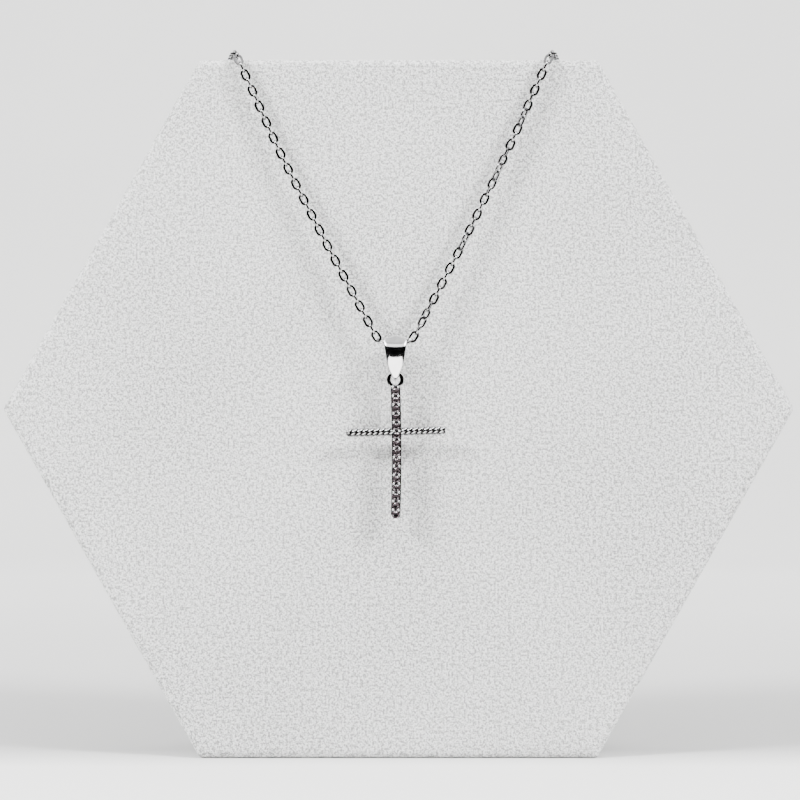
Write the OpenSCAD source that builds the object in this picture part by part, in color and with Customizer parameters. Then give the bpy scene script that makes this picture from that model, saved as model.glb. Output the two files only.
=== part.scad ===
// Cross pendant necklace hung over a hexagonal display board
// Millimetres, Z up, the board's front faces -Y, origin on the floor under the middle of the board

/* [Board] */
// Width between the left and right corners
board_w = 150; // [140:1:160]
// Height between the bottom and top edges
board_h = 132.3; // [128:0.1:138]
// Thickness of the plaster
board_t = 20; // [16:1:24]
// Length of the top and bottom edges
board_flat = 75.5; // [70:0.5:80]
// Rounding of the front and back edges
board_edge_r = 1.5; // [0.5:0.1:2.5]
// Rounding of the six corners
board_corner_r = 2; // [1:0.1:4]

/* [Chain] */
// Distance from one link to the next
link_pitch = 1.62; // [1.6:0.01:1.7]
// Outer width of a link
link_w = 1.65; // [1.5:0.01:1.7]
// Thickness of the link's flat wire
link_wire = 0.24; // [0.22:0.01:0.25]
// Play between one link and the next
link_play = 0.25; // [0.23:0.01:0.27]
// Distance of the chain's middle line from the board
chain_off = 1.2; // [1.15:0.05:1.5]
// Where the left strand crosses the front edge of the board's top
left_x = -30.8; // [-34:0.1:-28]
// Where the right strand crosses the front edge of the board's top
right_x = 28.9; // [26:0.1:32]

/* [Clasp] */
// Sideways place of the clasp behind the board
clasp_x = -1.2; // [-2:0.1:0]
// Height of the clasp above the floor
clasp_z = 39.1; // [34:0.1:42]
// Length of the clasp's body
clasp_len = 7.2; // [7:0.1:8]
// Height of the clasp's body
clasp_h = 2.6; // [2.2:0.1:3]
// Thickness of the clasp's body
clasp_t = 2; // [1.6:0.1:2.2]
// Outer diameter of the clasp's eyes
eye_d = 2.4; // [2.2:0.1:2.6]
// Thickness of the eyes' wire
eye_wire = 0.4; // [0.35:0.05:0.45]

/* [Bail] */
// Sideways place of the pendant
pendant_x = -0.6; // [-1:0.05:0]
// Height of the chain's middle line inside the bail
pendant_z = 78.35; // [76:0.05:80]
// Gap between the board and the back of the bail
board_gap = 0.8; // [0.6:0.05:1.2]
// Width of the bail
bail_w = 4.23; // [4:0.01:4.4]
// Outer radius of the bail's top
bail_top_r = 1.95; // [1.9:0.01:2.05]
// Outer radius of the bail's tip
bail_tip_r = 0.95; // [0.9:0.01:1]
// Height of the bail
bail_h = 8.58; // [8.4:0.01:9]
// Thickness of the bail at its top
bail_wall = 0.6; // [0.55:0.01:0.65]
// Thickness of the bail at its tip
bail_tip_wall = 0.87; // [0.8:0.01:0.9]
// Radius of the crown across the bail's front and back
crown_r = 5.5; // [5.3:0.1:9]

/* [Ring] */
// Outer diameter of the ring between bail and bar
ring_d = 3.05; // [3:0.01:3.2]
// Thickness of the ring's wire
ring_wire = 0.52; // [0.45:0.01:0.54]
// Gap between the ring's wire and the inside of the bail's tip
ring_gap = 0.26; // [0.2:0.01:0.28]
// How far the bar's top reaches over the ring
ring_lap = 0.46; // [0.4:0.01:0.5]

/* [Upright bar] */
// Length of the bar
bar_len = 25.37; // [25.2:0.01:28]
// Width of the bar
bar_w = 1.86; // [1.8:0.01:2]
// Depth of the bar
bar_t = 1.6; // [1.4:0.01:1.7]
// Rounding of the bar's ends
bar_end_r = 0.56; // [0.4:0.01:0.6]
// Sideways bow in the middle of the bar
bar_bow = 0.25; // [0:0.01:0.4]

/* [Rope arms] */
// Width of the cross over both arms
arm_span = 18.7; // [14:0.1:20]
// Distance of the arms below the top of the bar
arm_drop = 8.66; // [7:0.01:10]
// Sideways place of the middle of the arms
arm_x = -0.51; // [-0.6:0.01:-0.3]
// Slope of the arms in degrees, right end higher
arm_tilt = 1.6; // [0:0.1:2]
// Radius of each of the two strands
strand_r = 0.45; // [0.4:0.01:0.47]
// Distance of each strand from the rope's middle
strand_off = 0.405; // [0.36:0.005:0.42]
// Length in which the strands turn once
rope_lay = 2.07; // [1.8:0.01:2.6]

/* [Stones] */
// Diameter of a stone
stone_d = 1.4; // [1.3:0.01:1.42]
// Diameter of a stone's table
table_d = 0.8; // [0.7:0.01:0.9]
// Height of a stone above its girdle
crown_h = 0.2; // [0.15:0.01:0.25]
// Depth of a stone below its girdle
pavilion_h = 0.6; // [0.5:0.01:0.62]
// Depth of the girdle under the bar's front
stone_sink = 0.1; // [0.06:0.01:0.15]
// Distance from one stone to the next
stone_pitch = 1.645; // [1.64:0.005:1.66]
// Distance of the first stone below the top of the bar
stone_first = 1.13; // [1.1:0.01:1.2]
// Gap between a stone and its seat
seat_gap = 0.05; // [0.04:0.01:0.06]
// Diameter of the bead prongs
bead_d = 0.38; // [0.34:0.01:0.4]
// Distance of a bead from the middle of the bar
bead_off = 0.5; // [0.48:0.01:0.54]

/* [Hidden] */
$fn = 64;
stone_count = 15;
// Places below are in the frame of the whole object
silver = [0.78, 0.78, 0.8];
plaster = [0.86, 0.86, 0.85];
crystal = [0.93, 0.88, 0.9];

// Planks that round the board's edges stand this far outside its sides
plank_lap = 0.02;
side_len = norm([(board_w - board_flat) / 2, board_h / 2]);
side_w = board_w * (board_h / 2) / side_len;
side_ang = atan2((board_w - board_flat) / 2, board_h / 2);
BOARD = [
    [board_w / 2, 0],
    [board_flat / 2, board_h / 2],
    [-board_flat / 2, board_h / 2],
    [-board_w / 2, 0],
    [-board_flat / 2, -board_h / 2],
    [board_flat / 2, -board_h / 2]
];

// Planes and heights of the pendant
top_gap = 0.265;
pendant_y = -(board_t / 2 + board_gap + bail_top_r);
bail_top_z = pendant_z + link_w / 2 + top_gap + bail_wall;
bail_arc_z = bail_top_z - bail_top_r;
bail_tip_z = bail_top_z - bail_h;
tip_arc_z = bail_tip_z + bail_tip_r;
hole_top_r = bail_top_r - bail_wall;
hole_tip_r = 0.55;
hole_tip_z = bail_tip_z + bail_tip_wall + hole_tip_r;
leg_ang = asin((bail_top_r - bail_tip_r) / (bail_arc_z - tip_arc_z));
crown_sink = 0.03;
ring_r = (ring_d - ring_wire) / 2;
swing_z = bail_tip_z + bail_tip_wall + ring_gap + ring_wire / 2;
ring_z = swing_z - ring_r;
bar_top_z = ring_z - ring_d / 2 + ring_lap;
arm_z = bar_top_z - arm_drop;
bar_front = pendant_y - bar_t / 2;
// Half of the bail's width at shares of its height
TAPER = [
    [0, 0.12], [0.012, 0.18], [0.06, 0.215], [0.106, 0.225], [0.172, 0.46], [0.339, 0.69],
    [0.481, 0.82], [0.712, 1], [0.887, 1], [0.965, 0.985], [1, 0.94]
];

// Chain route, link by link: chosen points with the radius of the bend at each
front_y = -(board_t / 2 + chain_off);
back_y = board_t / 2 + chain_off;
run_z = board_h + chain_off;
edge_bend = board_edge_r + chain_off;
clasp_y = back_y;
eye_gap = 0.32;
clasp_reach = clasp_len / 2 + eye_d - eye_wire - eye_gap + link_play / 2;
function lean_y(z) = front_y + (pendant_y - front_y) * (run_z - z) / (run_z - pendant_z);
ROUTE = [
    [clasp_x - clasp_reach, clasp_y, clasp_z, 0],
    [-10.8, back_y, clasp_z + 3.2, 7],
    [-18, back_y, clasp_z + 16, 22],
    [-25, back_y, 73, 45],
    [-30, back_y, 100, 90],
    [left_x - 3.2, back_y, run_z, edge_bend],
    [left_x, front_y, run_z, edge_bend],
    [-22.4, lean_y(114.5), 114.5, 150],
    [-13.2, lean_y(96.5), 96.5, 150],
    [pendant_x - bail_w / 2 - 0.75, pendant_y, pendant_z, 2.6],
    [pendant_x + bail_w / 2 + 0.75, pendant_y, pendant_z, 2.6],
    [13.5, lean_y(100), 100, 150],
    [21.6, lean_y(117), 117, 150],
    [right_x, front_y, run_z, edge_bend],
    [right_x + 3.1, back_y, run_z, edge_bend],
    [28, back_y, 100, 90],
    [23, back_y, 73, 45],
    [15.8, back_y, clasp_z + 16, 22],
    [8.5, back_y, clasp_z + 3.2, 7],
    [clasp_x + clasp_reach, clasp_y, clasp_z, 0]
];
// Turn of the chain about its own line, counted in links from the facing link right of the bail
ROLL = [
    [-6, 0], [-5, 6], [0, 87], [1, 100], [4, 170], [5, 180], [9, 180], [11, 191], [14, 259],
    [16, 270], [18, 271], [25, 360], [27, 371], [30, 439], [32, 450], [36, 450]
];

function unit(v) = v / norm(v);
function place(i) = [ROUTE[i][0], ROUTE[i][1], ROUTE[i][2]];
function sum_to(v, n) = n < 1 ? 0 : v[n - 1] + sum_to(v, n - 1);
legs = len(ROUTE) - 1;
dirs = [for (i = [0 : legs - 1]) unit(place(i + 1) - place(i))];
turns = [for (i = [0 : legs]) i == 0 || i == legs ? 0 : acos(min(1, dirs[i - 1] * dirs[i]))];
tans = [for (i = [0 : legs]) ROUTE[i][3] * tan(turns[i] / 2)];
arcs = [for (i = [0 : legs]) ROUTE[i][3] * turns[i] * PI / 180];
straights = [for (i = [0 : legs - 1]) norm(place(i + 1) - place(i)) - tans[i] - tans[i + 1]];
spans = [for (i = [0 : legs - 1]) straights[i] + arcs[i + 1]];
starts = [for (i = [0 : legs - 1]) sum_to(spans, i)];
route_len = sum_to(spans, legs);
links = 4 * round(route_len / (4 * link_pitch));
step = route_len / links;
bail_leg = 9;
bail_link = 2 * round(((starts[bail_leg] + straights[bail_leg] / 2) / step - 2) / 2) + 1;

function leg_at(s, i = 0) = i >= legs - 1 || starts[i + 1] > s ? i : leg_at(s, i + 1);
function on_arc(i, a) =
    let (
        u = dirs[i],
        v = dirs[i + 1],
        r = ROUTE[i + 1][3],
        n = unit(v - u * (u * v))
    )
    place(i + 1) - u * tans[i + 1] + u * (r * sin(a)) + n * (r * (1 - cos(a)));
function route_at(s) =
    let (
        i = leg_at(s),
        d = s - starts[i]
    )
    d <= straights[i] || i == legs - 1
        ? place(i) + dirs[i] * (tans[i] + d)
        : on_arc(i, (d - straights[i]) / ROUTE[i + 1][3] * 180 / PI);
function clamp(v, low, high) = max(low, min(high, v));
function outward(p) = [
    0,
    p[1] - clamp(p[1], -(board_t / 2 - board_edge_r), board_t / 2 - board_edge_r),
    p[2] - min(p[2], board_h - board_edge_r)
];
function roll(i) = lookup(i - bail_link - 3, ROLL) + (i % 2 == 0 ? 90 : 0);
function link_pose(i) =
    let (
        a = route_at(step * i),
        b = route_at(step * (i + 1)),
        t = unit(b - a),
        c = (a + b) / 2,
        o = outward(c),
        flat = unit(o - t * (o * t)),
        edge = cross(t, flat),
        n = flat * cos(roll(i)) + edge * sin(roll(i)),
        w = cross(n, t)
    )
    [
        [t[0], w[0], n[0], c[0]],
        [t[1], w[1], n[1], c[1]],
        [t[2], w[2], n[2], c[2]],
        [0, 0, 0, 1]
    ];

// Bar outline points, stone places and bead places follow the bow
function bow(z) =
    let (u = (bar_top_z - bar_len / 2 - z) / (bar_len / 2))
    pendant_x + bar_bow * (1 - u * u);
function corner(side, end, k, n) =
    let (
        a = 90 * k / n,
        z_end = end > 0 ? bar_top_z : bar_top_z - bar_len,
        z = z_end - end * bar_end_r * (1 - sin(a)),
        x = bar_w / 2 - bar_end_r * (1 - cos(a))
    )
    [bow(z) + side * x, z];
bar_cuts = 12;
corner_cuts = 5;
BAR = concat(
    [for (k = [0 : corner_cuts]) corner(1, 1, k, corner_cuts)],
    [for (k = [0 : corner_cuts]) corner(-1, 1, corner_cuts - k, corner_cuts)],
    [for (k = [1 : bar_cuts - 1])
        let (z = bar_top_z - bar_end_r - (bar_len - 2 * bar_end_r) * k / bar_cuts)
        [bow(z) - bar_w / 2, z]],
    [for (k = [0 : corner_cuts]) corner(-1, -1, k, corner_cuts)],
    [for (k = [0 : corner_cuts]) corner(1, -1, corner_cuts - k, corner_cuts)],
    [for (k = [bar_cuts - 1 : -1 : 1])
        let (z = bar_top_z - bar_end_r - (bar_len - 2 * bar_end_r) * k / bar_cuts)
        [bow(z) + bar_w / 2, z]]
);
function stone_z(i) = bar_top_z - stone_first - stone_pitch * (i - 1);
function stone_name(i) = str("stone_", i < 10 ? "0" : "", i);

// Flat outline with rounded corners, from its sharp corners
module rounded_outline(points, r) {
    n = len(points);
    polygon([for (i = [0 : n - 1], side = [-1, 1])
        let (
            p = points[i],
            before = unit(points[(i + n - 1) % n] - p),
            after = unit(points[(i + 1) % n] - p),
            half = acos(before * after) / 2
        )
        p + (side < 0 ? before : after) * (r / tan(half))]);
    for (i = [0 : n - 1]) {
        p = points[i];
        before = unit(points[(i + n - 1) % n] - p);
        after = unit(points[(i + 1) % n] - p);
        half = acos(before * after) / 2;
        translate(p + unit(before + after) * (r / sin(half)))
            circle(r);
    }
}

// Long plank through the middle of the board, with rounded edges
module plank(width, ang) {
    rotate([0, ang, 0])
        rotate([0, 90, 0])
            linear_extrude(height = 2 * board_w, center = true)
                rounded_outline([
                    [width / 2, board_t / 2],
                    [-width / 2, board_t / 2],
                    [-width / 2, -board_t / 2],
                    [width / 2, -board_t / 2]
                ], board_edge_r);
}

// Display board
module board() {
    color(plaster)
        translate([0, 0, board_h / 2])
            intersection() {
                rotate([90, 0, 0])
                    linear_extrude(height = board_t + 2, center = true)
                        rounded_outline(BOARD, board_corner_r);
                plank(board_h + plank_lap, 0);
                plank(side_w + plank_lap, 90 - side_ang);
                plank(side_w + plank_lap, side_ang - 90);
            }
}

// Straight-sided oval
module oval(length, width) {
    square([length - width, width], center = true);
    for (side = [-1, 1])
        translate([side * (length - width) / 2, 0])
            circle(width / 2);
}

// One flat link with its length along X
module chain_link() {
    linear_extrude(height = link_wire, center = true)
        difference() {
            oval(link_pitch + 2 * link_wire + link_play, link_w);
            oval(link_pitch + link_play, link_w - 2 * link_wire);
        }
}

// Links of the chain from one number to another
module chain(first, last) {
    color(silver)
        for (i = [first : last])
            multmatrix(link_pose(i))
                chain_link();
}

// Clasp behind the board with an eye at each end
module clasp() {
    color(silver)
        translate([clasp_x, clasp_y, clasp_z])
            rotate([90, 0, 0]) {
                linear_extrude(height = clasp_t, center = true)
                    oval(clasp_len, clasp_h);
                for (side = [-1, 1])
                    translate([side * (clasp_len / 2 + eye_d / 2), 0, 0])
                        linear_extrude(height = eye_wire, center = true)
                            difference() {
                                union() {
                                    circle(eye_d / 2);
                                    translate([-side * eye_d / 2, 0])
                                        square([0.9, 1.1], center = true);
                                }
                                circle(eye_d / 2 - eye_wire);
                            }
            }
}

// Drop outline in the Y-Z plane around a top and a tip circle
module drop(top_r, top_z, tip_r, tip_z) {
    a = asin((top_r - tip_r) / (top_z - tip_z));
    translate([0, top_z])
        circle(top_r);
    translate([0, tip_z])
        circle(tip_r);
    polygon([
        [top_r * cos(a), top_z - top_r * sin(a)],
        [-top_r * cos(a), top_z - top_r * sin(a)],
        [-tip_r * cos(a), tip_z - tip_r * sin(a)],
        [tip_r * cos(a), tip_z - tip_r * sin(a)]
    ]);
}

// Round across the front leg of the bail, with the leg's slope
module leg_crown() {
    translate([0, -bail_top_r * cos(leg_ang), bail_arc_z - bail_top_r * sin(leg_ang)])
        rotate([leg_ang, 0, 0])
            translate([0, crown_r + crown_sink, 0])
                cylinder(r = crown_r, h = 4 * bail_h, center = true, $fn = 96);
}

// Bail, tapered to its tip and crowned across
module bail() {
    color(silver)
        translate([pendant_x, pendant_y, 0])
            intersection() {
                rotate([90, 0, 90])
                    linear_extrude(height = bail_w + 2, center = true)
                        difference() {
                            drop(bail_top_r, bail_arc_z, bail_tip_r, tip_arc_z);
                            drop(hole_top_r, bail_arc_z, hole_tip_r, hole_tip_z);
                        }
                rotate([90, 0, 0])
                    linear_extrude(height = 3 * bail_top_r, center = true)
                        polygon(concat(
                            [for (p = TAPER) [p[1] * bail_w / 2, bail_tip_z + p[0] * bail_h]],
                            [for (k = [len(TAPER) - 1 : -1 : 0])
                                [-TAPER[k][1] * bail_w / 2, bail_tip_z + TAPER[k][0] * bail_h]]
                        ));
                leg_crown();
                mirror([0, 1, 0])
                    leg_crown();
            }
}

// Space of one stone's seat, open at the front, from the girdle's middle
module seat() {
    r = stone_d / 2 + seat_gap;
    translate([0, 0, -0.09])
        cylinder(r = r, h = 1);
    translate([0, 0, -pavilion_h - 0.12])
        cylinder(r1 = 0.1, r2 = r, h = pavilion_h + 0.03 + 0.0001);
}

// One rope arm from the bar's side to its end
module rope_arm(side) {
    from = bar_w / 2 - 0.1 - side * (arm_x - bow(arm_z));
    length = arm_span / 2 - from;
    rotate([0, 90, 0])
        translate([0, 0, side > 0 ? from : -arm_span / 2])
            linear_extrude(
                height = length,
                twist = -360 * length / rope_lay,
                slices = ceil(12 * length / rope_lay),
                $fn = 8
            )
                rotate(side > 0 ? 360 * from / rope_lay : -180 * arm_span / rope_lay)
                    for (turn = [0, 180])
                        rotate(turn)
                            translate([strand_off, 0])
                                circle(strand_r, $fn = 8);
}

// Ring, bar, beads and rope arms, soldered into one piece
module pendant_cross() {
    color(silver) {
        translate([pendant_x, pendant_y, ring_z])
            rotate([90, 0, 0])
                rotate_extrude()
                    translate([ring_r, 0])
                        circle(ring_wire / 2, $fn = 24);
        difference() {
            translate([0, pendant_y, 0])
                rotate([90, 0, 0])
                    linear_extrude(height = bar_t, center = true)
                        polygon(BAR);
            for (i = [1 : stone_count])
                translate([bow(stone_z(i)), bar_front + stone_sink, stone_z(i)])
                    rotate([90, 0, 0])
                        seat();
        }
        for (i = [0 : stone_count], side = [-1, 1]) {
            z = stone_z(i) - stone_pitch / 2 + 0.01;
            translate([bow(z) + side * bead_off, bar_front, z])
                sphere(d = bead_d, $fn = 16);
        }
        translate([arm_x, pendant_y, arm_z])
            rotate([0, -arm_tilt, 0])
                for (side = [-1, 1])
                    rope_arm(side);
    }
}

// One cut stone with its table to the front
module stone(i) {
    color(crystal)
        translate([bow(stone_z(i)), bar_front + stone_sink, stone_z(i)])
            rotate([90, 0, 0])
                hull() {
                    translate([0, 0, crown_h - 0.01])
                        rotate(22.5)
                            cylinder(d = table_d, h = 0.01, $fn = 8);
                    translate([0, 0, -0.02])
                        cylinder(d = stone_d, h = 0.04, $fn = 16);
                    translate([0, 0, -pavilion_h])
                        cylinder(d = 0.05, h = 0.01, $fn = 8);
                }
}

board();
chain(0, bail_link + 1);  // chain_left
chain(bail_link + 2, links - 1);  // chain_right
clasp();
bail();
pendant_cross();  // cross
for (i = [1 : stone_count])
    stone(i);
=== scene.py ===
"""Looks of a cross pendant necklace that hangs over a hexagonal plaster board.

Sizes are in millimetres until they reach a mesh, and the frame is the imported
model's: X to the right, Y to the back, Z up, the floor at Z 0.
"""
import math

import bmesh
import bpy
import numpy as np
from mathutils import Matrix, Vector


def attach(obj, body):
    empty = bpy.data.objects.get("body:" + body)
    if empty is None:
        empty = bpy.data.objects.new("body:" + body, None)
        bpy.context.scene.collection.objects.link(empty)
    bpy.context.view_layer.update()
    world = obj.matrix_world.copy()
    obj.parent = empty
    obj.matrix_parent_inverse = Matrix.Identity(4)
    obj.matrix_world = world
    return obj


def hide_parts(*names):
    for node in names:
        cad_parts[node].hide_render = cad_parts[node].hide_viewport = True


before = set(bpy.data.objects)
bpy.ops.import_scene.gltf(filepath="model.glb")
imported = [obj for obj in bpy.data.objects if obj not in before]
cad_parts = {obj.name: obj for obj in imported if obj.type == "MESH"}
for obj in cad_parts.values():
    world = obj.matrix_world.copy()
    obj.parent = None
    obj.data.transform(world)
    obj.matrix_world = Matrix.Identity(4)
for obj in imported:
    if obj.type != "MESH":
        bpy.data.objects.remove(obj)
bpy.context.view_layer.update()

MM = 0.001

# Sizes that follow the solids, with fuller links, ring and beads
BOARD_T = 20
PENDANT_X = -0.6
PENDANT_Y = -12.75
LINK_LENGTH = 2.38
LINK_WIDTH = 1.65
LINK_WIRE = 0.43
LINK_THICK = 0.34
BAIL_WIDTH = 4.23
BAIL_TOP_Z = 80.04
BAIL_HEIGHT = 8.58
BAIL_TOP_R = 1.95
BAIL_TIP_R = 0.95
BAIL_HOLE_TOP_R = 1.35
BAIL_HOLE_TIP_R = 0.55
BAIL_TIP_WALL = 0.87
RING_Z = 71.585
RING_R = 1.25
RING_FLAT = 0.72
RING_WIRE = 0.52
BAR_TOP_Z = 70.52
BAR_LENGTH = 25.37
BAR_WIDTH = 1.86
BAR_DEPTH = 1.6
BAR_END_R = 0.56
BAR_BOW = 0.25
ARM_X = -0.51
ARM_SPAN = 18.7
ARM_DROP = 8.66
ARM_TILT = math.radians(1.6)
STRAND_R = 0.45
STRAND_OFF = 0.405
ROPE_LAY = 2.07
STONES = 15
STONE_D = 1.4
TABLE_D = 0.8
CROWN_H = 0.2
PAVILION_H = 0.6
STONE_SINK = 0.1
STONE_PITCH = 1.645
STONE_FIRST = 1.13
SEAT_GAP = 0.05
BEAD_D = 0.5
BEAD_OFF = 0.5

# Half widths of the bail, as shares of the fullest one, at shares of its height
BAIL_HEIGHTS = [0, 0.03, 0.125, 0.208, 0.347, 0.486, 0.63, 0.75, 0.9, 0.94, 0.965, 0.985, 1]
BAIL_WIDTHS = [0.2, 0.26, 0.425, 0.57, 0.765, 0.88, 0.965, 1, 1, 0.96, 0.88, 0.74, 0.5]
TIP_HEIGHTS = [0, 0.03, 0.11, 0.2]
TIP_WIDTHS = [0.16, 0.2, 0.215, 0.55]

# How far the bail's outside falls towards its hole, at shares of its half width
CROWN_ACROSS = [0, 0.2, 0.4, 0.6, 0.8, 0.89, 0.94, 0.98, 1]
CROWN_DROPS = [0, 0.01, 0.04, 0.09, 0.18, 0.27, 0.39, 0.6, 0.9]

# Reach and depth of the painted shade in the stones' seats
SEAT_SHADE_R = 0.8
SEAT_SHADE_DEPTHS = (0.1, 0.3)

# Squared distance from an arm's middle where the painted shade in its grooves ends
GROOVE_SHADE_ENDS = (0.4, 0.54)

CAMERA_X = 0.28
CAMERA_Z = 67.8
CAMERA_AWAY = 400
CAMERA_LENS = 95.2

SWEEP_SIDE = 1800
SWEEP_FRONT = -1600
SWEEP_BEND_Y = 500
SWEEP_BEND_R = 500
SWEEP_TOP = 2200

SIDE_LAMP_PLACE = (760, -430, 700)
SIDE_LAMP_SIZE = 200
SIDE_LAMP_POWER = 21.5
TOP_LAMP_PLACE = (0, -60, 1200)
TOP_LAMP_SIZE = 1500
TOP_LAMP_POWER = 24.0

# The glowing sheet that only the polished faces mirror, a painted reflection of the room
ROOM_R = 950
ROOM_TURN = 125
ROOM_TOP = 1600
ROOM_GLOW = 16.0
MIRROR_Z = 0.3

# Half width, near edge and far edge of the glowing patch, a painted reflection of the floor
PALE_PATCH = (100, -60, -370)
PALE_GLOW = 5.0
GREY_GLOW = 0.3


class Sheet:
    """A node tree, with one way to add a node and one to feed a socket."""

    def __init__(self, tree):
        self.tree = tree

    def add(self, kind, settings=None, sockets=None):
        node = self.tree.nodes.new(kind)
        for name, value in (settings or {}).items():
            if name == "stops":
                self.fill_ramp(node.color_ramp, value)
            else:
                setattr(node, name, value)
        for name, value in (sockets or {}).items():
            self.feed(node.inputs[name], value)
        return node

    def feed(self, socket, value):
        if isinstance(value, Value):
            value = value.socket
        if isinstance(value, bpy.types.NodeSocket):
            self.tree.links.new(value, socket)
        else:
            socket.default_value = value

    @staticmethod
    def fill_ramp(ramp, stops):
        while len(ramp.elements) < len(stops):
            ramp.elements.new(1)
        for element, (place, grey) in zip(ramp.elements, stops):
            element.position = place
            element.color = (grey, grey, grey, 1)


class Value:
    """A number that varies over a surface, kept as the socket that carries it."""

    def __init__(self, sheet, socket):
        self.sheet = sheet
        self.socket = socket

    def maths(self, operation, first, second):
        node = self.sheet.add("ShaderNodeMath", {"operation": operation}, {0: first, 1: second})
        return Value(self.sheet, node.outputs[0])

    def __add__(self, other):
        return self.maths("ADD", self, other)

    def __radd__(self, other):
        return self.maths("ADD", other, self)

    def __sub__(self, other):
        return self.maths("SUBTRACT", self, other)

    def __rsub__(self, other):
        return self.maths("SUBTRACT", other, self)

    def __mul__(self, other):
        return self.maths("MULTIPLY", self, other)

    def __rmul__(self, other):
        return self.maths("MULTIPLY", other, self)


class Finish(Sheet):
    """A material whose patterns lie on the piece's own coordinates."""

    def __init__(self, name, **constants):
        self.material = bpy.data.materials.new(name)
        self.material.use_nodes = True
        super().__init__(self.material.node_tree)
        self.shader = self.tree.nodes["Principled BSDF"]
        self.place = self.add("ShaderNodeTexCoord").outputs["Object"]
        for socket, value in constants.items():
            self.set(socket.replace("_", " "), value)

    def set(self, socket, value):
        self.feed(self.shader.inputs[socket], value)

    def noise(self, per_mm, detail=2.0, roughness=0.5, low=0.3, high=0.7):
        """Cloudy pattern from 0 to 1 with so many lumps to a millimetre."""
        node = self.add(
            "ShaderNodeTexNoise",
            sockets={
                "Vector": self.place,
                "Scale": per_mm / MM,
                "Detail": detail,
                "Roughness": roughness,
            },
        )
        return self.ramp(node.outputs["Fac"], low, high)

    def axis(self, name):
        """Place along the piece's own X, Y or Z, in metres."""
        split = self.add("ShaderNodeSeparateXYZ", sockets={"Vector": self.place})
        return Value(self, split.outputs[name])

    def ramp(self, value, low, high):
        """0 below the low value, 1 above the high one and a slope between them."""
        node = self.add("ShaderNodeValToRGB", {"stops": [(low, 0.0), (high, 1.0)]}, {"Fac": value})
        return Value(self, node.outputs["Color"])

    def spots(self, per_mm, radius):
        """1 inside small round spots, 0 between them."""
        cells = self.add(
            "ShaderNodeTexVoronoi",
            sockets={"Vector": self.place, "Scale": per_mm / MM, "Randomness": 1.0},
        )
        ramp = self.add(
            "ShaderNodeValToRGB",
            {"stops": [(0.0, 1.0), (radius, 0.0)]},
            {"Fac": cells.outputs["Distance"]},
        )
        return Value(self, ramp.outputs["Color"])

    def between(self, share, low, high):
        """Colour that goes from low to high as the share goes from 0 to 1.

        Each end is three numbers or a socket that carries a colour.
        """
        node = self.add("ShaderNodeMix", {"data_type": "RGBA"}, {"Factor": share})
        for socket, colour in ((node.inputs[6], low), (node.inputs[7], high)):
            self.feed(socket, (*colour, 1) if isinstance(colour, tuple) else colour)
        return node.outputs[2]

    def bump(self, height, depth_mm, strength=1.0):
        node = self.add(
            "ShaderNodeBump",
            sockets={"Height": height, "Distance": depth_mm * MM, "Strength": strength},
        )
        self.set("Normal", node.outputs["Normal"])


def cast_plaster():
    """Pale cast plaster with a fine grain, soft clouds and a few tiny pits."""
    finish = Finish("cast_plaster", Specular_IOR_Level=0.05)
    grain = finish.noise(3.0, 2.0, 0.7, 0.44, 0.56)
    specks = finish.noise(1.5, 2.0, 0.6, 0.4, 0.56)
    clouds = finish.noise(0.03, 2.0)
    pits = finish.spots(0.16, 0.06)
    shade = 0.45 * grain + 0.45 * specks + 0.1 * clouds - 0.6 * pits
    finish.set("Base Color", finish.between(shade, (0.26, 0.26, 0.258), (0.93, 0.93, 0.927)))
    finish.set("Roughness", 0.78 + 0.12 * grain)
    finish.bump(grain + specks - 3.0 * pits, 0.06, 0.6)
    return finish.material


def polished_silver(name, tone, low_rough, high_rough, dents):
    """Bright polished metal with faint wipe marks and a little uneven gloss."""
    finish = Finish(name, Metallic=1.0)
    film = finish.noise(0.9, 3.0)
    marks = finish.noise(7.0, 2.0, 0.7)
    darker = tuple(0.88 * part for part in tone)
    finish.set("Base Color", finish.between(film, darker, tone))
    finish.set("Roughness", low_rough + (high_rough - low_rough) * film)
    finish.bump(marks, dents, 0.35)
    return finish.material


def bar_silver():
    """Polished metal with painted shade, near black, in the deep seats under the stones."""
    finish = Finish("bar_silver", Metallic=1.0)
    across = (finish.axis("X") - PENDANT_X * MM) * (1 / MM)
    deep = (finish.axis("Y") - (PENDANT_Y - BAR_DEPTH / 2) * MM) * (1 / MM)
    along = (finish.axis("Z") - (BAR_TOP_Z - BAR_LENGTH / 2) * MM) * (2 / BAR_LENGTH / MM)
    aside = across - BAR_BOW * (1 - along * along)
    inside = finish.ramp((SEAT_SHADE_R ** 2 - aside * aside) * 10.0, 0.0, 1.0)
    sunk = finish.ramp(deep, *SEAT_SHADE_DEPTHS)
    film = finish.noise(0.9, 3.0)
    bright = finish.between(film, (0.82, 0.82, 0.83), (0.93, 0.93, 0.94))
    # Painted shade: near black where the seats sink deep under the stones
    finish.set("Base Color", finish.between(inside * sunk, bright, (0.08, 0.07, 0.075)))
    finish.set("Roughness", 0.06 + 0.1 * film)
    return finish.material


def rope_silver():
    """Polished metal with painted shade, near black, deep in the grooves of the rope arms."""
    finish = Finish("rope_silver", Metallic=1.0)
    along = (finish.axis("X") - ARM_X * MM) * (1 / MM)
    depth = (finish.axis("Y") - PENDANT_Y * MM) * (1 / MM)
    height = (finish.axis("Z") - (BAR_TOP_Z - ARM_DROP) * MM) * (1 / MM)
    over = height - along * math.tan(ARM_TILT)
    outward = finish.ramp(depth * depth + over * over, *GROOVE_SHADE_ENDS)
    film = finish.noise(0.9, 3.0)
    bright = finish.between(film, (0.45, 0.45, 0.455), (0.58, 0.58, 0.585))
    # Painted shade: near black in the grooves between the strands
    finish.set("Base Color", finish.between(outward, (0.03, 0.028, 0.028), bright))
    finish.set("Roughness", 0.08 + 0.1 * film)
    return finish.material


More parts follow.
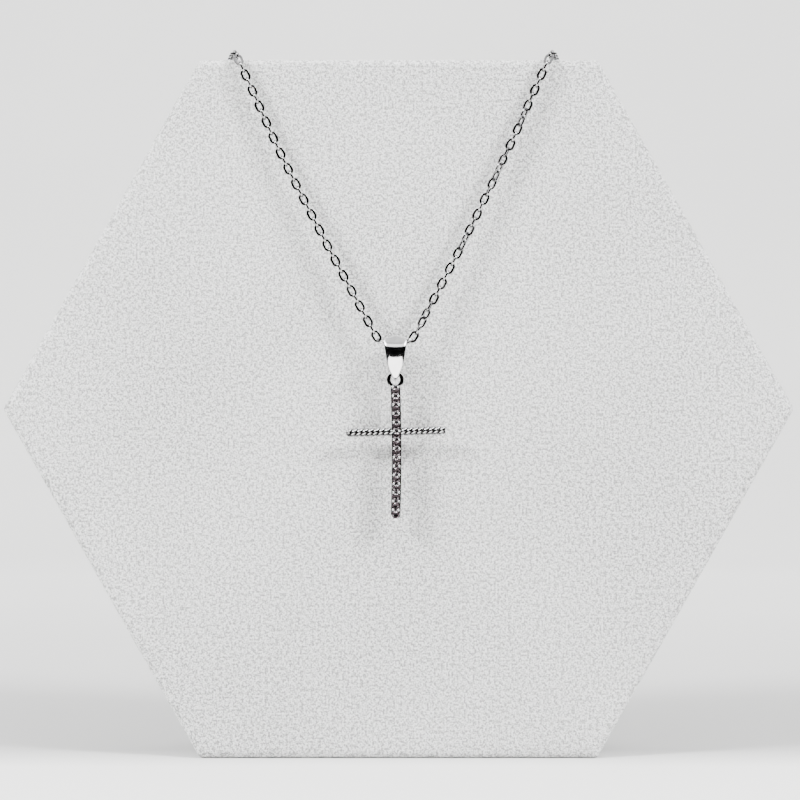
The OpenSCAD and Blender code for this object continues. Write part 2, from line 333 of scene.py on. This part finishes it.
def clear_stone():
    """Clear cut stone, faintly rosy, whose facets bend and mirror the light."""
    finish = Finish("clear_stone", IOR=2.1, Transmission_Weight=1.0)
    veil = finish.noise(1.3, 2.0)
    finish.set("Base Color", finish.between(veil, (0.1, 0.07, 0.085), (0.56, 0.48, 0.52)))
    finish.set("Metallic", 0.15 + 0.25 * veil)
    finish.set("Roughness", 0.01 + 0.03 * veil)
    return finish.material


PLASTER = cast_plaster()
SILVER = polished_silver("polished_silver", (0.93, 0.93, 0.94), 0.04, 0.12, 0.002)
# Painted shade: a darker copy of the polished silver, for the chain links and the ring
SHADED_SILVER = polished_silver("deep_silver", (0.4, 0.4, 0.405), 0.05, 0.12, 0.001)
BAR_SILVER = bar_silver()
ROPE_SILVER = rope_silver()
STONE = clear_stone()


def mesh_object(name, mesh, material):
    """An object at the origin whose only material is the given one."""
    piece = bpy.data.objects.new(name, mesh)
    bpy.context.scene.collection.objects.link(piece)
    mesh.materials.clear()
    mesh.materials.append(material)
    return piece


def plain_mesh(name, points, faces):
    """A mesh from points in millimetres, as they come."""
    mesh = bpy.data.meshes.new(name)
    mesh.from_pydata([Vector(point) * MM for point in points], [], faces)
    return mesh


def from_lists(name, points, faces):
    """A mesh from points in millimetres, with its faces turned outwards."""
    mesh = plain_mesh(name, points, faces)
    shape = bmesh.new()
    shape.from_mesh(mesh)
    bmesh.ops.remove_doubles(shape, verts=shape.verts, dist=0.0005 * MM)
    bmesh.ops.recalc_face_normals(shape, faces=shape.faces)
    shape.to_mesh(mesh)
    shape.free()
    return mesh


def loop_faces(count, ring):
    """Faces between rings of points, where the last ring meets the first one."""
    faces = []
    for station in range(count):
        after = (station + 1) % count
        for step in range(ring):
            beside = (step + 1) % ring
            faces.append((
                station * ring + step, station * ring + beside,
                after * ring + beside, after * ring + step,
            ))
    return faces


def shade_smooth(mesh, degrees=None):
    """Smooth shading, with edges sharper than the angle left crisp."""
    mesh.shade_smooth()
    if degrees is not None:
        mesh.set_sharp_from_angle(angle=math.radians(degrees))


def settle(piece, name):
    """The piece as a plain mesh with its modifiers carried out, at the origin."""
    bpy.context.view_layer.update()
    graph = bpy.context.evaluated_depsgraph_get()
    mesh = bpy.data.meshes.new_from_object(piece.evaluated_get(graph))
    materials = [slot.material for slot in piece.material_slots]
    bpy.data.objects.remove(piece)
    done = bpy.data.objects.new(name, mesh)
    bpy.context.scene.collection.objects.link(done)
    if not mesh.materials:
        for material in materials:
            mesh.materials.append(material)
    return done


def dress(piece, body, slot, *nodes):
    """The piece stands for its solids and moves with the body. The slot is not used."""
    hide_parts(*nodes)
    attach(piece, body)


class Recipe(Sheet):
    """A Geometry Nodes tree with named sizes, run on an object's mesh."""

    def __init__(self, name, sizes):
        super().__init__(bpy.data.node_groups.new(name, "GeometryNodeTree"))
        face = self.tree.interface
        face.new_socket("Geometry", in_out="INPUT", socket_type="NodeSocketGeometry")
        self.names = {}
        for size in sizes:
            made = face.new_socket(size, in_out="INPUT", socket_type="NodeSocketFloat")
            self.names[size] = made.identifier
        made = face.new_socket("Material", in_out="INPUT", socket_type="NodeSocketMaterial")
        self.names["Material"] = made.identifier
        face.new_socket("Geometry", in_out="OUTPUT", socket_type="NodeSocketGeometry")
        self.inputs = self.add("NodeGroupInput").outputs

    def maths(self, operation, first, second=0.0):
        node = self.add("ShaderNodeMath", {"operation": operation}, {0: first, 1: second})
        return node.outputs[0]

    def finish(self, geometry):
        """Turns what was placed into one smooth mesh with its material."""
        real = self.add("GeometryNodeRealizeInstances", sockets={"Geometry": geometry})
        smooth = self.add("GeometryNodeSetShadeSmooth", sockets={"Geometry": real.outputs[0]})
        painted = self.add(
            "GeometryNodeSetMaterial",
            sockets={"Geometry": smooth.outputs[0], "Material": self.inputs["Material"]},
        )
        out = self.add("NodeGroupOutput")
        self.feed(out.inputs[0], painted.outputs[0])

    def make(self, name, mesh, material, **sizes):
        """Runs the recipe on a mesh and gives the finished piece."""
        start = bpy.data.objects.new(name + "_start", mesh)
        bpy.context.scene.collection.objects.link(start)
        modifier = start.modifiers.new("recipe", "NODES")
        modifier.node_group = self.tree
        modifier[self.names["Material"]] = material
        for size, value in sizes.items():
            modifier[self.names[size.replace("_", " ")]] = float(value)
        return settle(start, name)


def link_recipe():
    """One oval wire link on each point, turned by the point's own angles."""
    recipe = Recipe("Cable chain", ["Length", "Width", "Wire", "Thickness"])
    sizes = recipe.inputs
    corner = recipe.maths("MULTIPLY", recipe.maths("SUBTRACT", sizes["Width"], sizes["Wire"]), 0.499)
    oval = recipe.add(
        "GeometryNodeCurvePrimitiveQuadrilateral",
        sockets={
            "Width": recipe.maths("SUBTRACT", sizes["Length"], sizes["Wire"]),
            "Height": recipe.maths("SUBTRACT", sizes["Width"], sizes["Wire"]),
        },
    )
    rounded = recipe.add(
        "GeometryNodeFilletCurve",
        {"mode": "POLY"},
        {"Curve": oval.outputs[0], "Count": 4, "Radius": corner, "Limit Radius": True},
    )
    square = recipe.add(
        "GeometryNodeCurvePrimitiveQuadrilateral",
        sockets={"Width": sizes["Wire"], "Height": sizes["Thickness"]},
    )
    profile = recipe.add(
        "GeometryNodeFilletCurve",
        {"mode": "POLY"},
        {
            "Curve": square.outputs[0], "Count": 1, "Limit Radius": True,
            "Radius": recipe.maths("MULTIPLY", sizes["Wire"], 0.1),
        },
    )
    wire = recipe.add(
        "GeometryNodeCurveToMesh",
        sockets={"Curve": rounded.outputs[0], "Profile Curve": profile.outputs[0]},
    )
    angles = recipe.add(
        "GeometryNodeInputNamedAttribute", {"data_type": "FLOAT_VECTOR"}, {"Name": "turn"}
    )
    turn = recipe.add("FunctionNodeEulerToRotation", sockets={"Euler": angles.outputs["Attribute"]})
    placed = recipe.add(
        "GeometryNodeInstanceOnPoints",
        sockets={
            "Points": sizes["Geometry"],
            "Instance": wire.outputs[0],
            "Rotation": turn.outputs[0],
        },
    )
    recipe.finish(placed.outputs[0])
    return recipe


def bead_recipe():
    """One small ball on each point."""
    recipe = Recipe("Bead prongs", ["Radius"])
    ball = recipe.add(
        "GeometryNodeMeshUVSphere",
        sockets={"Segments": 12, "Rings": 8, "Radius": recipe.inputs["Radius"]},
    )
    placed = recipe.add(
        "GeometryNodeInstanceOnPoints",
        sockets={"Points": recipe.inputs["Geometry"], "Instance": ball.outputs["Mesh"]},
    )
    recipe.finish(placed.outputs[0])
    return recipe


def rope_recipe():
    """Two strands with round ends twisted about each other, along Z from the origin."""
    recipe = Recipe("Twisted rope", ["Length", "Lay", "Offset", "Strand"])
    sizes = recipe.inputs
    spiral = recipe.add(
        "GeometryNodeCurveSpiral",
        sockets={
            "Resolution": 20,
            "Rotations": recipe.maths("DIVIDE", sizes["Length"], sizes["Lay"]),
            "Start Radius": sizes["Offset"],
            "End Radius": sizes["Offset"],
            "Height": sizes["Length"],
        },
    )
    profile = recipe.add(
        "GeometryNodeCurvePrimitiveCircle", sockets={"Resolution": 16, "Radius": sizes["Strand"]}
    )
    strand = recipe.add(
        "GeometryNodeCurveToMesh",
        sockets={"Curve": spiral.outputs[0], "Profile Curve": profile.outputs[0], "Fill Caps": True},
    )
    ends = recipe.add("GeometryNodeCurveEndpointSelection")
    ball = recipe.add(
        "GeometryNodeMeshUVSphere", sockets={"Segments": 16, "Rings": 10, "Radius": sizes["Strand"]}
    )
    caps = recipe.add(
        "GeometryNodeInstanceOnPoints",
        sockets={
            "Points": spiral.outputs[0], "Selection": ends.outputs[0], "Instance": ball.outputs["Mesh"],
        },
    )
    one = recipe.add("GeometryNodeJoinGeometry")
    recipe.feed(one.inputs[0], strand.outputs[0])
    recipe.feed(one.inputs[0], caps.outputs[0])
    other = recipe.add(
        "GeometryNodeTransform",
        sockets={"Geometry": one.outputs[0], "Rotation": (0.0, 0.0, math.pi)},
    )
    both = recipe.add("GeometryNodeJoinGeometry")
    recipe.feed(both.inputs[0], one.outputs[0])
    recipe.feed(both.inputs[0], other.outputs[0])
    recipe.finish(both.outputs[0])
    return recipe


def point_mesh(name, places, turns=None):
    """Loose points in metres, each with the angles of what goes there."""
    mesh = bpy.data.meshes.new(name)
    mesh.from_pydata([Vector(place) for place in places], [], [])
    if turns is not None:
        layer = mesh.attributes.new("turn", "FLOAT_VECTOR", "POINT")
        layer.data.foreach_set("vector", np.asarray(turns, np.float32).ravel())
    return mesh


def link_places(node):
    """Centre and angles of each link of a chain solid."""
    copy = bmesh.new()
    copy.from_mesh(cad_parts[node].data)
    bmesh.ops.remove_doubles(copy, verts=copy.verts, dist=0.001 * MM)
    left = set(copy.verts)
    places, turns = [], []
    while left:
        front = [left.pop()]
        island = []
        while front:
            vert = front.pop()
            island.append(vert.co[:])
            for edge in vert.link_edges:
                other = edge.other_vert(vert)
                if other in left:
                    left.remove(other)
                    front.append(other)
        points = np.array(island)
        spread = points - points.mean(axis=0)
        axes = np.linalg.eigh(spread.T @ spread)[1][:, ::-1]
        if np.linalg.det(axes) < 0:
            axes[:, 2] *= -1
        along = points @ axes
        centre = axes @ ((along.min(axis=0) + along.max(axis=0)) / 2)
        places.append(centre)
        turns.append(Matrix(axes.tolist()).to_euler()[:])
    copy.free()
    return places, turns


def bow(z):
    """Sideways place of the bar's middle at a height."""
    share = (BAR_TOP_Z - BAR_LENGTH / 2 - z) / (BAR_LENGTH / 2)
    return PENDANT_X + BAR_BOW * (1 - share * share)


def stone_z(number):
    """Height of a stone, where the pair of beads over it is half a pitch up."""
    return BAR_TOP_Z - STONE_FIRST - STONE_PITCH * (number - 1)


def drop_side(half, top, rise, pull, tip_r, tip_z, count):
    """Closed drop outline in Y and Z: an arched top, full legs and a round tip.

    The pull says how full the arch is: 0.55 gives an oval, less a slimmer top.
    """
    right = []
    for step in range(count + 1):
        share = step / count
        rest = 1 - share
        right.append((
            half * (3 * rest ** 2 * share * pull + 3 * rest * share ** 2 + share ** 3),
            top - rise * (3 * rest * share ** 2 * (1 - pull) + share ** 3),
        ))
    lean = math.radians(18)
    low = (tip_r * math.cos(lean), tip_z - tip_r * math.sin(lean))
    drop = right[-1][1] - low[1]
    for step in range(1, count):
        share = step / count
        fall = 1.2 * share ** 2 - 0.2 * share ** 3
        right.append((half - (half - low[0]) * fall, right[count][1] - drop * share))
    for step in range(count // 2 + 1):
        angle = -lean - (math.pi / 2 - lean) * step / (count // 2)
        right.append((tip_r * math.cos(angle), tip_z + tip_r * math.sin(angle)))
    left = [(-y, z) for y, z in reversed(right[1:-1])]
    return right + left


def bail_half_width(z, y):
    """Half of the bail's width, narrow where the ring runs under its tip."""
    share = (z - (BAIL_TOP_Z - BAIL_HEIGHT)) / BAIL_HEIGHT
    legs = np.interp(share, BAIL_HEIGHTS, BAIL_WIDTHS)
    tip = np.interp(share, TIP_HEIGHTS, TIP_WIDTHS)
    blend = min(max((abs(y) - 0.55) / 0.25, 0), 1)
    return BAIL_WIDTH / 2 * (legs * blend + min(tip, legs) * (1 - blend))


def make_bail():
    """Crowned bail: a drop-shaped loop with a domed outside and rolled edges."""
    tip_z = BAIL_TOP_Z - BAIL_HEIGHT
    outer = drop_side(BAIL_TOP_R, BAIL_TOP_Z, 3.2, 0.33, BAIL_TIP_R, tip_z + BAIL_TIP_R, 16)
    hole_top_z = BAIL_TOP_Z - BAIL_TOP_R + BAIL_HOLE_TOP_R
    hole_tip_z = tip_z + BAIL_TIP_WALL + BAIL_HOLE_TIP_R
    inner = drop_side(BAIL_HOLE_TOP_R, hole_top_z, 1.9, 0.55, BAIL_HOLE_TIP_R, hole_tip_z, 16)
    across = [-share for share in CROWN_ACROSS[:0:-1]] + CROWN_ACROSS
    drops = CROWN_DROPS[:0:-1] + CROWN_DROPS
    inside = (0.97, 0.5, 0, -0.5, -0.97)
    points = []
    for out, hole in zip(outer, inner):
        half = bail_half_width(out[1], out[0])
        for side, drop in zip(across, drops):
            y = out[0] + (hole[0] - out[0]) * drop
            z = out[1] + (hole[1] - out[1]) * drop
            points.append((PENDANT_X + side * half, PENDANT_Y + y, z))
        for side in inside:
            points.append((PENDANT_X + side * half, PENDANT_Y + hole[0], hole[1]))
    faces = loop_faces(len(outer), len(across) + len(inside))
    mesh = from_lists("bail_crowned", points, faces)
    shade_smooth(mesh, 50)
    return mesh_object("bail_crowned", mesh, SILVER)


def make_ring():
    """Ring of softly squared wire between the bail and the bar."""
    around, wire, squareness = 56, 16, 0.4
    points = []
    for step in range(around):
        turn = 2 * math.pi * step / around
        for part in range(wire):
            angle = 2 * math.pi * (part + 0.5) / wire
            out, up = (
                math.copysign(abs(place) ** squareness, place)
                for place in (math.cos(angle), math.sin(angle))
            )
            radius = RING_R + RING_FLAT / 2 * out
            points.append((
                PENDANT_X + radius * math.cos(turn),
                PENDANT_Y + RING_WIRE / 2 * up,
                RING_Z + radius * math.sin(turn),
            ))
    mesh = from_lists("cross_ring", points, loop_faces(around, wire))
    shade_smooth(mesh)
    return mesh_object("cross_ring", mesh, SHADED_SILVER)


def bar_outline():
    """Front outline of the bar, with round ends, following its bow."""
    outline = []
    for side, end in ((1, 1), (-1, 1), (-1, -1), (1, -1)):
        steps = range(7) if side * end > 0 else range(6, -1, -1)
        for step in steps:
            angle = math.pi / 2 * step / 6
            top = BAR_TOP_Z if end > 0 else BAR_TOP_Z - BAR_LENGTH
            z = top - end * BAR_END_R * (1 - math.sin(angle))
            outline.append((bow(z) + side * (BAR_WIDTH / 2 - BAR_END_R * (1 - math.cos(angle))), z))
        if end * side < 0:
            for step in range(1, 24):
                share = step / 24 if side < 0 else 1 - step / 24
                z = BAR_TOP_Z - BAR_END_R - (BAR_LENGTH - 2 * BAR_END_R) * share
                outline.append((bow(z) + side * BAR_WIDTH / 2, z))
    return outline


def make_bar():
    """Upright bar with softened edges and a cone-shaped seat for each stone."""
    outline = bar_outline()
    count = len(outline)
    points = [(x, PENDANT_Y - BAR_DEPTH / 2, z) for x, z in outline]
    points += [(x, PENDANT_Y + BAR_DEPTH / 2, z) for x, z in outline]
    faces = [tuple(range(count)), tuple(range(2 * count - 1, count - 1, -1))]
    faces += [(i, (i + 1) % count, (i + 1) % count + count, i + count) for i in range(count)]
    bar = mesh_object("bar_start", from_lists("bar_start", points, faces), BAR_SILVER)
    soft = bar.modifiers.new("soft_edges", "BEVEL")
    soft.width = 0.1 * MM
    soft.segments = 3
    soft.limit_method = "ANGLE"
    soft.angle_limit = math.radians(50)
    seats = bpy.data.meshes.new("seats")
    tool = bmesh.new()
    girdle = STONE_D / 2 + SEAT_GAP
    front = PENDANT_Y - BAR_DEPTH / 2 + STONE_SINK
    floor, cone_top, opening, under, point_r = -0.09, -0.089, 1.0, 0.12, 0.1
    for number in range(1, STONES + 1):
        z = stone_z(number)
        for low, high, r_low, r_high in (
            (floor, opening, girdle, girdle),
            (-PAVILION_H - under, cone_top, point_r, girdle),
        ):
            place = Matrix.Translation(Vector((bow(z), front - (low + high) / 2, z)) * MM)
            place @= Matrix.Rotation(math.pi / 2, 4, "X")
            bmesh.ops.create_cone(
                tool, cap_ends=True, segments=32, radius1=r_low * MM, radius2=r_high * MM,
                depth=(high - low) * MM, matrix=place,
            )
    tool.to_mesh(seats)
    tool.free()
    cutter = mesh_object("seats", seats, BAR_SILVER)
    cut = bar.modifiers.new("seats", "BOOLEAN")
    cut.object = cutter
    cut.solver = "EXACT"
    cut.use_self = True
    done = settle(bar, "cross_bar")
    bpy.data.objects.remove(cutter)
    shade_smooth(done.data, 35)
    return done


def make_arm(recipe, side):
    """One rope arm, from inside the bar to its free end."""
    arm_z = BAR_TOP_Z - ARM_DROP
    start = BAR_WIDTH / 2 - 0.1 - side * (ARM_X - bow(arm_z))
    length = ARM_SPAN / 2 - STRAND_R - start
    name = "cross_arm_right" if side > 0 else "cross_arm_left"
    arm = recipe.make(
        name, point_mesh(name + "_start", []), ROPE_SILVER,
        Length=length * MM, Lay=ROPE_LAY * MM, Offset=STRAND_OFF * MM, Strand=STRAND_R * MM,
    )
    along = start if side > 0 else STRAND_R - ARM_SPAN / 2
    phase = 2 * math.pi * along / ROPE_LAY
    place = Matrix.Translation(Vector((ARM_X, PENDANT_Y, arm_z)) * MM)
    place @= Matrix.Rotation(-ARM_TILT, 4, "Y")
    place @= Matrix.Rotation(math.pi / 2, 4, "Y")
    place @= Matrix.Translation((0, 0, along * MM))
    place @= Matrix.Rotation(phase, 4, "Z")
    arm.data.transform(place)
    return arm


def cut_stone(number):
    """Round brilliant with a table, star, kite and girdle facets, and a culet."""
    radius = STONE_D / 2
    rings = (
        (8, TABLE_D / 2, CROWN_H, 0.5),
        (8, radius * 0.8, CROWN_H * 0.56, 0.0),
        (16, radius, 0.02, 0.0),
        (16, radius, -0.02, 0.0),
        (8, radius * 0.52, -PAVILION_H * 0.53, 0.5),
        (8, 0.02, -PAVILION_H, 0.5),
    )
    z = stone_z(number)
    place = Matrix.Translation(
        Vector((bow(z), PENDANT_Y - BAR_DEPTH / 2 + STONE_SINK, z)) * MM
    )
    place @= Matrix.Rotation(math.pi / 2, 4, "X")
    place @= Matrix.Rotation(math.radians(11 * number), 4, "Z")
    shape = bmesh.new()
    for count, r, height, shift in rings:
        for step in range(count):
            angle = 2 * math.pi * (step + shift) / count
            shape.verts.new(Vector((r * math.cos(angle), r * math.sin(angle), height)) * MM)
    bmesh.ops.convex_hull(shape, input=shape.verts)
    bmesh.ops.dissolve_limit(
        shape, angle_limit=math.radians(1), verts=shape.verts, edges=shape.edges
    )
    bmesh.ops.triangulate(shape, faces=shape.faces)
    bmesh.ops.recalc_face_normals(shape, faces=shape.faces)
    shape.transform(place)
    mesh = bpy.data.meshes.new(f"cut_stone_{number:02d}")
    shape.to_mesh(mesh)
    shape.free()
    return mesh_object(f"cut_stone_{number:02d}", mesh, STONE)


def paint_node(node, material):
    """Gives a solid that stays as it is its finish."""
    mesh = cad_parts[node].data
    mesh.materials.clear()
    mesh.materials.append(material)


def make_camera():
    """Camera straight in front of the board, at the pendant's height."""
    lens = bpy.data.cameras.new("photo_camera")
    lens.sensor_width = 36
    lens.lens = CAMERA_LENS
    lens.clip_start = 0.01
    lens.clip_end = 20
    camera = bpy.data.objects.new("photo_camera", lens)
    camera.location = Vector((CAMERA_X, -(BOARD_T / 2 + CAMERA_AWAY), CAMERA_Z)) * MM
    camera.rotation_euler = (math.pi / 2, 0, 0)
    bpy.context.scene.collection.objects.link(camera)
    bpy.context.scene.camera = camera


def make_stage():
    """Seamless pale sweep: a floor that curves up into a back wall, with a painted shadow on the floor
    just behind the board.
    """
    finish = Finish("pale_sweep", Roughness=0.9, Specular_IOR_Level=0.05)
    cloud = finish.noise(0.004, 2.0)
    depth = finish.axis("Y")
    front = finish.ramp(depth * -1.0, 0.0, 0.02)
    # Painted shadow: darker from just behind the board to 0.4 m back, pale again in front of it
    share = 0.15 * cloud + 0.85 * finish.ramp(depth, 0.05, 0.4) + front
    finish.set("Base Color", finish.between(share, (0.5, 0.5, 0.498), (0.88, 0.88, 0.872)))
    profile = [(SWEEP_FRONT, 0), (-CAMERA_AWAY, 0), (SWEEP_BEND_Y, 0)]
    for step in range(1, 17):
        angle = math.pi / 2 * step / 16
        y = SWEEP_BEND_Y + SWEEP_BEND_R * math.sin(angle)
        profile.append((y, SWEEP_BEND_R * (1 - math.cos(angle))))
    profile.append((SWEEP_BEND_Y + SWEEP_BEND_R, SWEEP_TOP))
    under = 0.02
    points, faces = [], []
    for y, z in profile:
        points += [(-SWEEP_SIDE, y, z - under), (SWEEP_SIDE, y, z - under)]
    for step in range(len(profile) - 1):
        faces.append((2 * step, 2 * step + 1, 2 * step + 3, 2 * step + 2))
    mesh = plain_mesh("pale_sweep", points, faces)
    shade_smooth(mesh)
    mesh_object("pale_sweep", mesh, finish.material)


def mirrored_only(name, points, faces, material):
    """Stage sheet that only the polished faces see, for a painted reflection."""
    sheet = mesh_object(name, plain_mesh(name, points, faces), material)
    sheet.visible_camera = False
    sheet.visible_diffuse = False
    sheet.visible_shadow = False


def make_room_front():
    """Painted reflection of a dark room around the camera: a glowing sheet with bright panels at both
    sides and a dim strip and ceiling.
    """
    finish = Finish(
        "room_front", Roughness=1.0, Specular_IOR_Level=0.0, Emission_Strength=ROOM_GLOW
    )
    finish.set("Base Color", finish.between(finish.noise(0.01), (0.0004,) * 3, (0.001,) * 3))
    height = finish.axis("Z") * 0.6
    middle, flanks = (
        finish.add("ShaderNodeValToRGB", {"stops": stops}, {"Fac": height}).outputs["Color"]
        for stops in (
            [
                (0.0, 0.0), (0.54, 0.0), (0.55, 0.16), (0.78, 0.16),
                (0.8, 0.05), (0.94, 0.05), (0.96, 0.072),
            ],
            [(0.0, 0.0), (0.54, 0.0), (0.56, 1.0), (0.84, 1.0), (0.88, 0.07), (0.96, 0.09)],
        )
    )
    sideways = finish.axis("X")
    share = (sideways * sideways - 0.055) * 40.0
    # Painted reflection: glowing side panels, a dim strip and a ceiling over a dark room
    finish.set("Emission Color", finish.between(share, middle, flanks))
    points, faces = [], []
    for step in range(33):
        angle = math.radians(ROOM_TURN * (step / 16 - 1))
        for z in (-5, ROOM_TOP):
            points.append((ROOM_R * math.sin(angle), -ROOM_R * math.cos(angle), z))
    for step in range(32):
        faces.append((2 * step, 2 * step + 2, 2 * step + 3, 2 * step + 1))
    faces.append(tuple(range(1, 66, 2)))
    mirrored_only("room_front", points, faces, finish.material)


def make_mirrored_floor():
    """Painted reflections of the floor: a dark sheet, painted shade for the undersides, around a
    glowing patch in front of the board, and a grey glowing one behind it.
    """
    side, near, far = PALE_PATCH
    shade_boxes = (
        (-ROOM_R, -side, -ROOM_R, 0), (side, ROOM_R, -ROOM_R, 0),
        (-side, side, -ROOM_R, far), (-side, side, near, 0),
    )
    # Painted shade and painted reflections that only the polished faces see
    for name, glow, boxes in (
        ("dim_floor", 0.0, shade_boxes),
        ("pale_floor", PALE_GLOW, ((-side, side, far, near),)),
        ("grey_floor", GREY_GLOW, ((-ROOM_R, ROOM_R, 0, ROOM_R),)),
    ):
        finish = Finish(name, Roughness=1.0, Specular_IOR_Level=0.0, Emission_Strength=glow)
        cloud = finish.noise(0.01, 1.0)
        finish.set("Base Color", finish.between(cloud, (0.001,) * 3, (0.003,) * 3))
        finish.set("Emission Color", finish.between(cloud, (1.0, 0.98, 0.95), (1.0, 0.99, 0.97)))
        points = []
        for x0, x1, y0, y1 in boxes:
            points += [(x, y, MIRROR_Z) for x, y in ((x0, y0), (x1, y0), (x1, y1), (x0, y1))]
        faces = [tuple(range(first, first + 4)) for first in range(0, len(points), 4)]
        mirrored_only(name, points, faces, finish.material)


def make_lamp(name, place, target, size, power):
    """Square soft light, aimed at a point."""
    lamp = bpy.data.lights.new(name, "AREA")
    lamp.shape = "SQUARE"
    lamp.size = size * MM
    lamp.energy = power
    stand = bpy.data.objects.new(name, lamp)
    stand.visible_glossy = False
    stand.location = Vector(place) * MM
    stand.rotation_euler = (Vector(target) - Vector(place)).to_track_quat("-Z", "Y").to_euler()
    bpy.context.scene.collection.objects.link(stand)


def make_lights():
    """Two lights beside the camera, a broad one overhead and an even pale surround."""
    target = (0, 0, 70)
    x, y, z = SIDE_LAMP_PLACE
    make_lamp("left_light", (-x, y, z), target, SIDE_LAMP_SIZE, SIDE_LAMP_POWER)
    make_lamp("right_light", (x, y, z), target, SIDE_LAMP_SIZE, SIDE_LAMP_POWER)
    make_lamp("top_light", TOP_LAMP_PLACE, target, TOP_LAMP_SIZE, TOP_LAMP_POWER)
    world = bpy.data.worlds.new("pale_surround")
    world.use_nodes = True
    sky = world.node_tree.nodes["Background"]
    sky.inputs["Color"].default_value = (1, 1, 1, 1)
    sky.inputs["Strength"].default_value = 0.27
    bpy.context.scene.world = world


make_camera()
make_stage()
make_room_front()
make_mirrored_floor()
make_lights()

paint_node("board", PLASTER)
paint_node("clasp", SILVER)

links = link_recipe()
for node in ("chain_left", "chain_right"):
    places, turns = link_places(node)
    wire = links.make(
        node + "_links", point_mesh(node, places, turns), SHADED_SILVER,
        Length=LINK_LENGTH * MM, Width=LINK_WIDTH * MM, Wire=LINK_WIRE * MM,
        Thickness=LINK_THICK * MM,
    )
    shade_smooth(wire.data, 30)
    dress(wire, "stand", "silver", node)

dress(make_bail(), "bail", "silver", "bail")

rope = rope_recipe()
bead_points = [
    Vector((bow(z) + side * BEAD_OFF, PENDANT_Y - BAR_DEPTH / 2, z)) * MM
    for z in (stone_z(number) - STONE_PITCH / 2 for number in range(STONES + 1))
    for side in (-1, 1)
]
beads = bead_recipe().make(
    "cross_beads", point_mesh("cross_beads", bead_points), SILVER, Radius=BEAD_D / 2 * MM
)
for piece in (make_ring(), make_bar(), make_arm(rope, 1), make_arm(rope, -1), beads):
    dress(piece, "cross", "silver", "cross")
for number in range(1, STONES + 1):
    dress(cut_stone(number), "cross", "stone", f"stone_{number:02d}")
